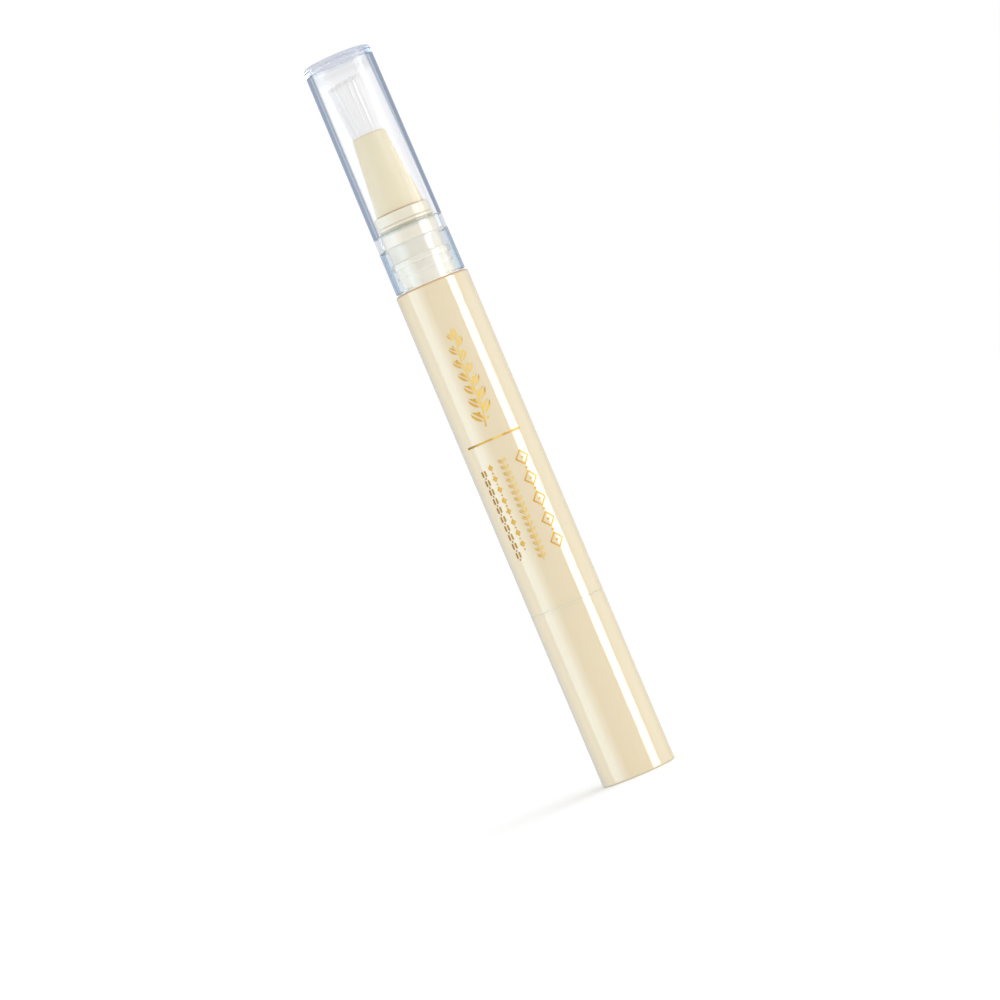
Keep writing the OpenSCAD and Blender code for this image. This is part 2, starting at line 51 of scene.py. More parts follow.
pen_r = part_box("barrel")[1].x
barrel_low_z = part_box("barrel")[0].z
barrel_top_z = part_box("barrel")[1].z
knob_top_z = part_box("twist_knob")[1].z
joint_z = (knob_top_z + barrel_low_z) / 2
collar_low_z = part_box("neck_fitting")[1].z
cone_top_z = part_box("tip_cone")[1].z
brush_low, brush_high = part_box("brush")
cap_low_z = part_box("cap")[0].z
pen_top_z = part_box("cap")[1].z


# Camera, studio and lamps

LEAN = math.radians(22.98)        # how far the pen leans to the left in the picture
CAMERA_PLACE = Vector((-3.89, -758.0, 55.2)) * MM
LENS = 151.0
SENSOR = 36.0

SOFT_LIGHT = 0.87                 # the world's level on the pen's surfaces
KEY_LIGHT = 0.26                  # the key's level, square on
KEY_SPREAD = math.radians(60)
KEY_FROM = Vector((0.42, -0.08, 0.90))
LAMP_DISTANCE = 0.60              # of the strip lamps from the pen's axis
LAMP_LOW, LAMP_HIGH = -0.30, 0.60
# Each strip lamp's start and end round the pen from the front, in degrees, and its level
RIGHT_STRIP = (48.0, 73.3, 12.5)
LEFT_STRIPS = [
    (-95, -83, 1.7),
    (-83, -66, 5.1),
    (-66, -54, 4.9),
    (-54, -43, 3.2),
    (-43, -32, 1.6),
]
LOW_STRIPS = [                    # these end lower, so that only the knob and the barrel show them
    (-130, -110, 0.6),
    (-110, -95, 1.3),
    (76, 106, 0.9),
    (106, 130, 0.5),
]
LOW_STRIPS_HIGH = 0.128
COOL = (0.55, 0.80, 1.0)

FLOOR_R, FLOOR_SIDES = 3.0, 128
PANEL_WIDE, PANEL_TALL, PANEL_BACK = 1.6, 3.0, 0.45


def set_camera():
    lens = bpy.data.cameras.new("camera")
    lens.lens = LENS
    lens.sensor_width = SENSOR
    camera = bpy.data.objects.new("camera", lens)
    camera.location = CAMERA_PLACE
    camera.rotation_euler = (math.radians(90), LEAN, 0)
    bpy.context.scene.collection.objects.link(camera)
    bpy.context.scene.camera = camera
    bpy.context.scene.view_settings.view_transform = "Standard"


def set_world():
    """White behind everything, and a little less of it as light."""
    world = bpy.data.worlds.new("studio")
    bpy.context.scene.world = world
    world.use_nodes = True
    tree = world.node_tree
    tree.nodes.clear()
    path = tree.nodes.new("ShaderNodeLightPath")
    seen = path.outputs["Is Camera Ray"]
    for ray in ("Is Glossy Ray", "Is Transmission Ray"):
        either = tree.nodes.new("ShaderNodeMath")
        either.operation = "MAXIMUM"
        tree.links.new(seen, either.inputs[0])
        tree.links.new(path.outputs[ray], either.inputs[1])
        seen = either.outputs[0]
    level = tree.nodes.new("ShaderNodeMapRange")
    level.inputs["To Min"].default_value = SOFT_LIGHT
    tree.links.new(seen, level.inputs["Value"])
    glow = tree.nodes.new("ShaderNodeBackground")
    glow.inputs["Color"].default_value = (1, 1, 1, 1)
    tree.links.new(level.outputs["Result"], glow.inputs["Strength"])
    out = tree.nodes.new("ShaderNodeOutputWorld")
    tree.links.new(glow.outputs[0], out.inputs["Surface"])


def add_lamp(name, data, place, towards, **rays):
    lamp = bpy.data.objects.new(name, data)
    lamp.location = place
    lamp.rotation_euler = Vector(towards).to_track_quat("-Z", "Y").to_euler()
    bpy.context.scene.collection.objects.link(lamp)
    lamp.visible_camera = False
    lamp.visible_transmission = False
    lamp.visible_volume_scatter = False
    for ray, seen in rays.items():
        setattr(lamp, "visible_" + ray, seen)


def add_key():
    sun = bpy.data.lights.new("key", "SUN")
    sun.energy = KEY_LIGHT * math.pi
    sun.angle = KEY_SPREAD
    add_lamp("key", sun, KEY_FROM, -KEY_FROM, glossy=False)


def add_strip(name, start, end, level, colour=(1, 1, 1), high=LAMP_HIGH):
    """A tall lamp seen only in gloss, between two angles round the pen from the front."""
    middle, half = math.radians((start + end) / 2), math.radians(abs(end - start) / 2)
    light = bpy.data.lights.new(name, "AREA")
    light.shape = "RECTANGLE"
    light.size = 2 * LAMP_DISTANCE * math.tan(half)
    light.size_y = high - LAMP_LOW
    light.energy = level * math.pi * light.size * light.size_y
    light.color = colour
    outwards = Vector((math.sin(middle), -math.cos(middle), 0))
    height = Vector((0, 0, (LAMP_LOW + high) / 2))
    add_lamp(name, light, outwards * LAMP_DISTANCE + height, -outwards, diffuse=False)


def add_lamps():
    add_key()
    add_strip("strip_right", *RIGHT_STRIP)
    for i, strip in enumerate(LEFT_STRIPS):
        add_strip(f"strip_left_{i}", *strip, COOL)
    for i, strip in enumerate(LOW_STRIPS):
        add_strip(f"strip_low_{i}", *strip, COOL, LOW_STRIPS_HIGH)


def add_floor():
    floor = add_disc(FLOOR_SIDES, FLOOR_R)
    floor.name = "floor"
    floor.visible_glossy = False
    floor.visible_shadow = False
    floor.data.materials.append(floor_finish())


def add_panel():
    """A grey panel behind the pen, which darkens the gloss along its outline."""
    bpy.ops.object.select_all(action="DESELECT")
    bpy.ops.mesh.primitive_plane_add(size=1, location=(0, PANEL_BACK, 0), rotation=UPRIGHT)
    panel = bpy.context.object
    panel.name = "panel"
    panel.scale = (PANEL_WIDE, PANEL_TALL, 1)
    bpy.ops.object.transform_apply(location=False, rotation=False, scale=True)
    for ray in ("camera", "diffuse", "transmission", "volume_scatter", "shadow"):
        setattr(panel, "visible_" + ray, False)
    panel.data.materials.append(panel_finish())


# Shader maths

class Value:
    """One output of a node. An expression on it adds Math nodes."""

    def __init__(self, finish, socket):
        self.finish = finish
        self.socket = socket

    def __add__(self, other):
        return self.finish.math("ADD", self, other)

    def __radd__(self, other):
        return self.finish.math("ADD", other, self)

    def __sub__(self, other):
        return self.finish.math("SUBTRACT", self, other)

    def __rsub__(self, other):
        return self.finish.math("SUBTRACT", other, self)

    def __mul__(self, other):
        return self.finish.math("MULTIPLY", self, other)

    def __rmul__(self, other):
        return self.finish.math("MULTIPLY", other, self)


def screen(red, green, blue):
    """A screen's colour, from 0 to 255, as the light that the shader adds up: the sRGB curve."""
    shares = [x / 255 for x in (red, green, blue)]
    return [x / 12.92 if x <= 0.04045 else ((x + 0.055) / 1.055) ** 2.4 for x in shares] + [1]


class Finish:
    """A procedural material: node() adds any node, and the rest are names for some of them.
    Its x, y, z, heights, radii and grains are in millimetres."""

    def __init__(self, name):
        self.material = bpy.data.materials.new(name)
        self.material.use_nodes = True
        self.tree = self.material.node_tree
        self.tree.nodes.clear()
        self.place = self.node("ShaderNodeTexCoord", output="Object")
        split = self.tree.nodes.new("ShaderNodeSeparateXYZ")
        self.tree.links.new(self.place.socket, split.inputs[0])
        self.x, self.y, self.z = (Value(self, out) * (1 / MM) for out in split.outputs)

    def node(self, kind, settings=None, sockets=None, output=0):
        node = self.tree.nodes.new(kind)
        for key, setting in (settings or {}).items():
            setattr(node, key, setting)
        for key, value in (sockets or {}).items():
            if isinstance(value, Value):
                self.tree.links.new(value.socket, node.inputs[key])
            else:
                node.inputs[key].default_value = value
        return Value(self, node.outputs[output])

    def math(self, operation, first, second=0.0):
        return self.node("ShaderNodeMath", {"operation": operation}, {0: first, 1: second})

    def either(self, first, second):
        """The larger of two masks."""
        return self.math("MAXIMUM", first, second)

    def off(self, value, middle):
        """How far a value is from a middle, on either side."""
        return self.math("ABSOLUTE", value - middle)

    def over(self, level):
        """Height over a level, which is given in metres."""
        return self.z - level / MM

    def radius(self):
        return self.math("SQRT", self.x * self.x + self.y * self.y)

    def step(self, value, start, end):
        """0 before start, 1 after end, and smooth between them. Start may be the larger."""
        return self.node("ShaderNodeMapRange", {"interpolation_type": "SMOOTHSTEP"},
                         {"Value": value, "From Min": start, "From Max": end})

    def band(self, value, start, full, hold, end):
        """0 before start, 1 from full to hold, and 0 after end."""
        return self.step(value, start, full) * self.step(value, end, hold)

    def mix(self, share, first, second):
        return self.node("ShaderNodeMix", {"data_type": "RGBA"},
                         {0: share, 6: first, 7: second}, output=2)

    def tint(self, base, colour, mask, share):
        """The base, with a share of a colour where the mask is 1."""
        return self.mix(mask * share, base, colour)

    def grain(self, size, around=1.0, along=1.0, detail=2.0, roughness=0.5):
        """Noise with features of a size, so many times longer around or along the pen."""
        scale = [1 / (size * MM * stretch) for stretch in (around, around, along)]
        place = self.node("ShaderNodeMapping", {"vector_type": "POINT"},
                          {"Vector": self.place, "Scale": scale})
        return self.node("ShaderNodeTexNoise", {},
                         {"Vector": place, "Scale": 1.0, "Detail": detail, "Roughness": roughness})

    def ray(self, kind):
        return self.node("ShaderNodeLightPath", output=kind)

    def bump(self, height, depth):
        """Height from 0 to 1 as relief, which is a depth deep."""
        return self.node("ShaderNodeBump", {}, {"Height": height, "Distance": depth * MM})

    def shader(self, sockets, kind="ShaderNodeBsdfPrincipled"):
        return self.node(kind, {}, sockets)

    def done(self, shader, volume=None):
        out = self.tree.nodes.new("ShaderNodeOutputMaterial")
        self.tree.links.new(shader.socket, out.inputs["Surface"])
        if volume is not None:
            self.tree.links.new(volume.socket, out.inputs["Volume"])
        return self.material


# Studio finishes

FLOOR_TONES = screen(246, 246, 246), screen(249, 249, 249)
PANEL_LEFT, PANEL_RIGHT = (0.50, 0.66, 0.90, 1), (0.70, 0.70, 0.66, 1)
PANEL_HIGH = (0.50, 0.54, 0.62, 1)   # behind the cap
PANEL_ACROSS = (-160, 160)           # where its left tone gives way to its right one
PANEL_RISE = (112, 130)              # where its high tone takes over


def floor_finish():
    finish = Finish("pale_floor")
    speck = finish.grain(6.0, detail=3)
    return finish.done(finish.shader({
        "Base Color": finish.mix(speck, *FLOOR_TONES),
        "Roughness": 0.9,
        "Specular IOR Level": 0.1,
    }))


def panel_finish():
    finish = Finish("grey_panel")
    tone = finish.mix(finish.step(finish.x, *PANEL_ACROSS), PANEL_LEFT, PANEL_RIGHT)
    tone = finish.mix(finish.step(finish.y, *PANEL_RISE), tone, PANEL_HIGH)
    return finish.done(finish.shader({"Color": tone}, "ShaderNodeEmission"))


# Cream finishes

# Two places say where a step starts and ends, and four where a band starts, is full, is still
# full, and ends. They are heights over the level named, or radii.
CREAM_TONES = screen(231, 217, 184), screen(235, 221, 190)
CREAM_FLOW = screen(220, 203, 166)
JOINT_PAINTED_LIGHT = screen(253, 244, 220)   # painted light: paler along the joint's thin edges
# Painted shade: brown along the barrel's upper edge where the cap meets it, and in the tip's
# creases
PAINTED_SHADE_BROWN = screen(178, 132, 74)
SEAM_RISE = (-0.55, -0.05)           # over the barrel's top
SEAM_OUT = (-0.50, -0.20)            # radii over the barrel's own
JOINT_EDGE = (0.20, 0.08)            # distances from the joint
SCUFFS = (0.50, 0.80)                # of the scuffs' grain

CONE_FOOT_Z = collar_low_z + 2.7 * MM
GROOVE_Z = collar_low_z + 0.675 * MM
COLLAR_TONE, CONE_TONE = screen(244, 236, 215), screen(243, 231, 199)
TIP_CLOUD, TIP_FLOW = screen(247, 239, 213), screen(222, 207, 170)
CONE_RISE = (-0.05, 0.05)            # over the cone's foot
# Painted shade lines, where the tip's faces meet and under its collar
FOOT_SHADE_LINE = (-0.10, 0.0, 0.05, 0.38)   # over the cone's foot
GROOVE_SHADE_LINE = (-0.22, 0.0, 0.0, 0.22)
UNDER_SHADE_LINE = (0.25, 0.0)             # over the collar's underside
COLLAR_OUT = (4.5, 4.9)
LIP_SHADE_LINE, LIP_OUT = (-0.30, 0.0), (2.9, 3.05)   # over the cone's top
FOOT_SHARE, GROOVE_SHARE, UNDER_SHARE, LIP_SHARE = 0.65, 0.28, 0.45, 0.35   # of painted brown shade in each

NECK_TONES = screen(240, 236, 222), screen(248, 243, 231)
NECK_CLOUD = (0.35, 0.65)            # of the cloud's grain
NECK_TURNED = screen(224, 226, 210)
# The neck's tones and where they are, over the collar's underside
NECK_WARM, WARM_BAND = screen(248, 237, 216), (-3.1, -2.6, -1.5, -1.0)
# Painted shade: a band on the neck, and a darker one just under the collar
NECK_SHADE, SHADE_BAND = screen(224, 219, 202), (-7.2, -6.4, -3.4, -2.8)
NECK_UNDER_SHADE, UNDER_RISE = screen(196, 195, 174), (-1.2, -0.5)
NECK_LOW, LOW_FALL = screen(253, 250, 240), (-8.2, -9.4)


def gloss_cream():
    """Glossy moulded cream, with painted brown shade along the barrel's upper edge and painted
    light along the joint.
    """
    finish = Finish("gloss_cream")
    cloud = finish.grain(14.0, along=2.5, detail=3)
    flow = finish.grain(0.9, along=30, detail=4)
    peel = finish.grain(0.45, detail=2)
    scuff = finish.grain(0.25, along=9, detail=5, roughness=0.65)
    base = finish.tint(finish.mix(cloud, *CREAM_TONES), CREAM_FLOW, flow, share=0.10)
    # Painted shade along the barrel's upper outer edge
    seam_shade = (finish.step(finish.over(barrel_top_z), *SEAM_RISE)
            * finish.step(finish.radius() - pen_r / MM, *SEAM_OUT))
    base = finish.tint(base, PAINTED_SHADE_BROWN, seam_shade, share=0.85)
    # Painted light: paler along the joint, which softens the dark line of its gap
    joint = finish.step(finish.off(finish.z, joint_z / MM), *JOINT_EDGE)
    base = finish.tint(base, JOINT_PAINTED_LIGHT, joint, share=0.32)
    return finish.done(finish.shader({
        "Base Color": base,
        "Roughness": 0.07 + 0.05 * finish.step(scuff, *SCUFFS) + 0.02 * cloud,
        "IOR": 1.5,
        "Subsurface Weight": 0.25,
        "Subsurface Radius": (1.0, 0.85, 0.6),
        "Subsurface Scale": 0.9 * MM,
        "Normal": finish.bump(peel + flow * 0.5, 0.0012),
    }))


def tip_shade_lines(finish):
    """How much painted brown shade the tip's lines take: at the cone's foot, in the groove,
    under the collar and round the cone's end."""
    out = finish.radius()
    side = finish.step(out, *COLLAR_OUT)
    foot = finish.band(finish.over(CONE_FOOT_Z), *FOOT_SHADE_LINE)
    groove = finish.band(finish.over(GROOVE_Z), *GROOVE_SHADE_LINE) * side
    under = finish.step(finish.over(collar_low_z), *UNDER_SHADE_LINE) * side
    lip = finish.step(finish.over(cone_top_z), *LIP_SHADE_LINE) * finish.step(out, *LIP_OUT)
    return foot * FOOT_SHARE + groove * GROOVE_SHARE + under * UNDER_SHARE + lip * LIP_SHARE


def satin_cream():
    """The tip: a satin cone on a glossier collar, and lines of painted brown shade round both."""
    finish = Finish("satin_cream")
    cloud = finish.grain(6.0, detail=3)
    flow = finish.grain(0.5, along=18, detail=4)
    fine = finish.grain(0.12, detail=3)
    cone = finish.step(finish.over(CONE_FOOT_Z), *CONE_RISE)
    base = finish.mix(cone, COLLAR_TONE, CONE_TONE)
    base = finish.tint(base, TIP_CLOUD, cloud, share=0.4)
    base = finish.tint(base, TIP_FLOW, flow, share=0.12)
    return finish.done(finish.shader({
        # painted brown shade along the tip's lines
        "Base Color": finish.mix(tip_shade_lines(finish), base, PAINTED_SHADE_BROWN),
        "Roughness": 0.30 + 0.10 * cone + 0.06 * flow + 0.04 * fine,
        "Specular IOR Level": 0.11,
        "Coat Weight": 0.40 * (1 - cone),
        "Coat Roughness": 0.12,
        "Subsurface Weight": 0.2,
        "Subsurface Radius": (1.0, 0.9, 0.7),
        "Subsurface Scale": 0.8 * MM,
        "Normal": finish.bump(fine, 0.003),
    }))


def milky_neck():
    """The neck: cloudy, with fine turned rings, a few broad bands of tone, and painted shade in a
    band and just under the collar.
    """
    finish = Finish("milky_neck")
    over = finish.over(collar_low_z)
    cloud = finish.step(finish.grain(3.5, along=0.6, detail=3), *NECK_CLOUD)
    turning = finish.grain(0.35, around=30, detail=2)
    under = finish.step(over, *UNDER_RISE)
    base = finish.tint(finish.mix(cloud, *NECK_TONES), NECK_TURNED, turning, share=0.15)
    base = finish.tint(base, NECK_WARM, finish.band(over, *WARM_BAND), share=0.8)
    # Painted shade, in a band and just under the collar
    base = finish.tint(base, NECK_SHADE, finish.band(over, *SHADE_BAND), share=0.50)
    base = finish.tint(base, NECK_UNDER_SHADE, under, share=0.95)
    base = finish.tint(base, NECK_LOW, finish.step(over, *LOW_FALL), share=0.3)
    return finish.done(finish.shader({
        "Base Color": base,
        "Roughness": 0.14 + 0.14 * turning + 0.12 * under,
        "Specular IOR Level": 0.45,
        "Subsurface Weight": 0.35,
        "Subsurface Radius": (1.0, 1.0, 0.85),
        "Subsurface Scale": 1.2 * MM,
        "Normal": finish.bump(turning, 0.004),
    }))


# Cap finish

CAP_STEP_Z = cap_low_z + 7.8 * MM    # the wall is thinner under this
# The snap bead inside the wall
BEAD_LOW_Z, BEAD_HIGH_Z = collar_low_z - 3.0 * MM, collar_low_z - 0.5 * MM
CAP_OUTSIDE = (6.20, 6.28)
RIGHT_HALF = (-1.0, 1.0)             # of x
THIN_WALL = (0.2, -0.2)              # over the wall's step
BEAD_START, BEAD_END = (-0.3, 0.0), (0.2, -0.1)   # over its lower and its upper end
LEDGE_START, LEDGE_END = (-0.15, 0.0), (0.15, 0.0)   # over the wall's step and the bead's lower end
LEDGE_IN = (6.2, 6.1)
SLOPE, SLOPE_IN = (-0.02, 0.0, 0.16, 0.20), (6.1, 5.9)   # over the bead's upper end
# Over the pen's top, from the wall up to the end's rim
UPPER_WALL = (-4.6, -3.4, -1.6, -1.3)
FROST = (-2.3, -1.5)
CEILING, CEILING_IN = (-1.75, -1.65, -1.50, -1.40), (5.0, 4.8)
WALL_TOP = (-1.45, -1.65)
LOW_CORNER, HIGH_CORNER, CORNER_OUT = (-1.45, -1.15), (-0.95, -0.65), (5.3, 5.8)
RIM = (-0.55, -0.25)
# How much light each passes unbent
SLOPE_SHARE, CEILING_SHARE, RIM_SHARE, BEAD_SHARE = 0.9, 0.75, 0.45, 0.8

# How far a surface turns from the eye: 0 where it faces it, and 1 where it is seen edge on
BESIDE_EDGE_FACING = (0.32, 0.38)
GRAZING = (0.40, 0.55)
NEARER = (0.60, 0.46)                # the darker side of the thick wall's edges
THIN_MIDDLE, THIN_OUTER = (0.53, 0.60), (0.66, 0.75)   # of the thin wall's edges
EDGE_START, EDGE_SOFT = 0.393, 0.04  # where the painted dark edges start, and how far on they are full
EDGE_THIN = 0.072                    # more on the thin wall
# More on the right of the thick wall: at the pen's top, and for each millimetre down from it
EDGE_RIGHT, EDGE_TAPER = -0.0307, 0.0052

WHITE = (1, 1, 1, 1)
# Painted shade on the wall's edges seen edge on: bluish, and darker on their nearer side
LEFT_TONES, LEFT_NEARER = (screen(169, 190, 210), screen(177, 197, 217)), screen(112, 124, 144)
RIGHT_TONES, RIGHT_NEARER = (screen(160, 173, 193), screen(168, 181, 200)), screen(130, 146, 168)
THIN_TONES = screen(108, 124, 136), screen(160, 176, 182)   # on the left and on the right
THIN_MIDDLE_TONE, THIN_OUTER_TONE = screen(94, 101, 111), screen(158, 160, 166)
# Painted tone and painted glints on the wall's edges at the bead
BEAD_TONES = screen(230, 236, 244), screen(226, 236, 250)   # on the left and on the right
BEAD_PAINTED_GLINT, GLINTS = screen(250, 251, 255), (0.40, 0.60)
# Painted shade beside the wall's edges
BESIDE_EDGE_SHADES = screen(224, 229, 233), screen(242, 242, 240)   # on the left and on the right
THIN_BESIDE_EDGE_SHADE = screen(184, 192, 198)
# Painted shade on the closed end's edges and greying its corner
END_PAINTED_SHADE, CORNER_PAINTED_SHADE = screen(178, 183, 192), screen(202, 204, 208)
UPPER_TONE = screen(246, 246, 246)
CAP_SHINE = (0.03, 0.03, 0.03, 1)    # the cap shows hardly any lamp square on
CAP_PASSES = (0.98, 0.985, 0.99, 1)  # what it lets straight through
CAP_BODY, CAP_DENSITY = (0.70, 0.73, 0.82, 1), 80.0   # for the light that its body takes
FLOW_MARKS = (0.62, 0.85)            # of the flow's grain


class CapZones:
    """Where the cap's finish changes. Each mask is 1 in its zone and 0 outside it."""

    def __init__(self, finish):
        self.facing = finish.node("ShaderNodeLayerWeight", output="Facing")
        self.flow = finish.grain(1.6, along=7, detail=3)
        self.out = finish.radius()
        self.from_top = finish.over(pen_top_z)
        self.right = finish.step(finish.x, *RIGHT_HALF)
        self.thin = finish.step(finish.over(CAP_STEP_Z), *THIN_WALL)
        self.bead = (finish.step(finish.over(BEAD_LOW_Z), *BEAD_START)
                     * finish.step(finish.over(BEAD_HIGH_Z), *BEAD_END))
        self.outside = finish.step(self.out, *CAP_OUTSIDE)
        self.add_edges(finish)
        self.add_end(finish)

    def add_edges(self, finish):
        """Where the wall's edges are painted dark, and where painted shade lies beside them on the
        thin wall and the bead.
        """
        further = EDGE_RIGHT - EDGE_TAPER * self.from_top
        start = EDGE_START + EDGE_THIN * self.thin + self.right * (1 - self.thin) * further
        self.edge = finish.step(self.facing, start, start + EDGE_SOFT) * self.outside
        # Painted shade beside the edges
        beside_edges = finish.either(self.thin, self.bead) * self.outside
        self.shade_beside_edges = finish.step(self.facing, *BESIDE_EDGE_FACING) * beside_edges

    def add_end(self, finish):
        """The corner of the closed end, painted grey as shade towards its outline, and the frost
        inside.
        """
        grazing = finish.step(self.facing, *GRAZING)
        corner = finish.either(finish.step(self.from_top, *LOW_CORNER) * grazing,
                               finish.step(self.from_top, *HIGH_CORNER))
        self.corner = corner * finish.step(self.out, *CORNER_OUT)
        self.frost = finish.step(self.from_top, *FROST) * (1 - self.corner * grazing)


def thick_edge_shade(finish, zones):
    """Painted shade on the edges of the thick wall, darker on their nearer side."""
    nearer = finish.step(zones.facing, *NEARER)
    left = finish.mix(nearer, finish.mix(zones.flow, *LEFT_TONES), LEFT_NEARER)
    right = finish.mix(nearer, finish.mix(zones.flow, *RIGHT_TONES), RIGHT_NEARER)
    return finish.mix(zones.right, left, right)


def thin_edge_shade(finish, zones):
    """Painted shade on the edges of the thin wall, darkest in their middle."""
    tone = finish.mix(zones.right, *THIN_TONES)
    tone = finish.mix(finish.step(zones.facing, *THIN_MIDDLE), tone, THIN_MIDDLE_TONE)
    return finish.mix(finish.step(zones.facing, *THIN_OUTER), tone, THIN_OUTER_TONE)


def bead_edge_glints(finish, zones):
    """Painted tone on the edges at the bead, with painted glints in them."""
    painted_glint = finish.step(finish.grain(0.7, around=1.6, along=0.7, detail=1), *GLINTS)
    return finish.mix(painted_glint, finish.mix(zones.right, *BEAD_TONES), BEAD_PAINTED_GLINT)


def cap_tone(finish, zones):
    """White, but for painted shade on the edges, beside them and on the closed end."""
    edge = finish.mix(zones.thin, thick_edge_shade(finish, zones), thin_edge_shade(finish, zones))
    edge = finish.mix(zones.bead, edge, bead_edge_glints(finish, zones))
    # Painted shade on the closed end's edges
    edge = finish.mix(finish.step(zones.from_top, *WALL_TOP), END_PAINTED_SHADE, edge)
    shade_beside_edges = finish.mix(zones.thin, finish.mix(zones.right, *BESIDE_EDGE_SHADES), THIN_BESIDE_EDGE_SHADE)
    tone = finish.mix(finish.band(zones.from_top, *UPPER_WALL), WHITE, UPPER_TONE)
    tone = finish.mix(zones.shade_beside_edges, tone, shade_beside_edges)
    # painted shade on the wall's edges
    tone = finish.mix(zones.edge, tone, edge)
    # Painted shade greying the end's corner
    return finish.tint(tone, CORNER_PAINTED_SHADE, zones.corner, share=0.45)


def cap_unbent(finish, zones):
    """How far light passes unbent through the small faces inside, the end's rim and the bead's
    edges, which would show too dark with all of it bent."""
    ledge = (finish.step(finish.over(CAP_STEP_Z), *LEDGE_START)
             * finish.step(finish.over(BEAD_LOW_Z), *LEDGE_END)
             * finish.step(zones.out, *LEDGE_IN))
    slope = finish.band(finish.over(BEAD_HIGH_Z), *SLOPE) * finish.step(zones.out, *SLOPE_IN)
    ceiling = finish.band(zones.from_top, *CEILING) * finish.step(zones.out, *CEILING_IN)
    rim = finish.step(zones.from_top, *RIM)
    return (ledge + slope * SLOPE_SHARE + ceiling * CEILING_SHARE + rim * RIM_SHARE
            + zones.bead * zones.edge * BEAD_SHARE)


def lighting_rays(finish):
    """1 for the rays that carry light to other surfaces, and for those that a gloss mirrors."""
    mirrored = finish.ray("Is Glossy Ray") * (1 - finish.ray("Is Transmission Ray"))
    return finish.either(finish.either(finish.ray("Is Shadow Ray"), finish.ray("Is Diffuse Ray")),
                         mirrored)


def clear_cap():
    """Clear moulding: painted bluish shade where its wall is seen edge on, and its body takes a
    little light.
    Light passes it straight on, and it bends only what is seen through it."""
    finish = Finish("clear_cap")
    zones = CapZones(finish)
    glass = finish.shader({
        "Base Color": cap_tone(finish, zones),
        "Roughness": (0.015 + 0.03 * finish.step(zones.flow, *FLOW_MARKS)
                      + 0.20 * zones.frost + 0.05 * zones.bead),
        "IOR": 1.5,
        "Specular Tint": CAP_SHINE,
        "Transmission Weight": 1.0,
        "Normal": finish.bump(zones.flow, 0.004),
    })
    unbent = finish.either(lighting_rays(finish), cap_unbent(finish, zones))
    through = finish.shader({"Color": CAP_PASSES}, "ShaderNodeBsdfTransparent")
    body = finish.shader({"Color": CAP_BODY, "Density": CAP_DENSITY}, "ShaderNodeVolumeAbsorption")
    surface = finish.node("ShaderNodeMixShader", {}, {0: unbent, 1: glass, 2: through})
    return finish.done(surface, body)


# Other finishes

NYLON_TONES = screen(246, 243, 240), screen(253, 251, 249)
PAINTED_GLOW = 0.03                          # painted light: a faint glow that lifts the strands
FOIL_TONES = screen(202, 154, 62), screen(222, 176, 84)
# The foil's painted reflections, light in its middle and darker to each side, and where they are
# across the print
MIDDLE_X = 0.1
FOIL_PAINTED_GLEAM, MIDDLE_EDGE = screen(244, 208, 110), (1.3, 0.6)   # distances from MIDDLE_X
FOIL_PAINTED_DIM_RIGHT, RIGHT_EDGE = screen(198, 150, 60), (1.0, 1.4)
FOIL_PAINTED_DARK_LEFT, LEFT_EDGE = screen(140, 96, 22), (-2.2, -5.4)
NATURAL_TONES = screen(236, 236, 226), screen(222, 223, 212)
ACETAL_TONES = screen(228, 230, 232), screen(214, 217, 220)
STEEL_TONES = screen(176, 178, 182), screen(214, 215, 218)
RUBBER_TONES = screen(28, 28, 29), screen(46, 46, 47)


def nylon():
    finish = Finish("nylon_strands")
    streak = finish.grain(0.18, along=40, detail=2)
    base = finish.mix(streak, *NYLON_TONES)
    return finish.done(finish.shader({
        "Base Color": base,
        "Roughness": 0.35 + 0.15 * streak,
        "Specular IOR Level": 0.3,
        # Painted light: a faint glow
        "Emission Color": base,
        "Emission Strength": PAINTED_GLOW,
    }))


def gold_foil():
    """Stamped foil: brushed and mottled, with painted reflections light in the middle of the print
    and deep at its left.
    """
    finish = Finish("gold_foil")
    mottle = finish.grain(0.9, along=1.6, detail=4)
    brush = finish.grain(0.10, along=14, detail=2)
    # Painted reflection: lighter in the middle, darker to the right and deep at the left
    middle = finish.step(finish.off(finish.x, MIDDLE_X), *MIDDLE_EDGE)
    base = finish.tint(finish.mix(mottle, *FOIL_TONES), FOIL_PAINTED_GLEAM, middle, share=0.85)
    base = finish.tint(base, FOIL_PAINTED_DIM_RIGHT, finish.step(finish.x, *RIGHT_EDGE), share=0.8)
    base = finish.tint(base, FOIL_PAINTED_DARK_LEFT, finish.step(finish.x, *LEFT_EDGE), share=0.85)
    return finish.done(finish.shader({
        "Base Color": base,
        "Metallic": 0.16,
        "Specular IOR Level": 0.05,
        "Roughness": 0.38 + 0.16 * brush,
        "Normal": finish.bump(brush, 0.002),
    }))


def plain_plastic(name, tones, roughness, size):
    """Plastic of a hidden moulding: a cloudy tone, and flow marks along the pen."""
    finish = Finish(name)
    cloud = finish.grain(size, detail=3)
    flow = finish.grain(0.6, along=14, detail=4)
    fine = finish.grain(0.10, detail=2)
    return finish.done(finish.shader({
        "Base Color": finish.mix(cloud * 0.6 + flow * 0.4, *tones),
        "Roughness": roughness + 0.10 * flow,
        "Subsurface Weight": 0.2,
        "Subsurface Radius": (1.0, 0.95, 0.85),
        "Subsurface Scale": 0.8 * MM,
        "Normal": finish.bump(fine, 0.003),
    }))


def drawn_steel():
    finish = Finish("drawn_steel")
    drawn = finish.grain(0.30, along=0.12, detail=4)
    return finish.done(finish.shader({
        "Base Color": finish.mix(drawn, *STEEL_TONES),
        "Metallic": 1.0,
        "Roughness": 0.18 + 0.16 * drawn,
        "Normal": finish.bump(drawn, 0.002),
    }))


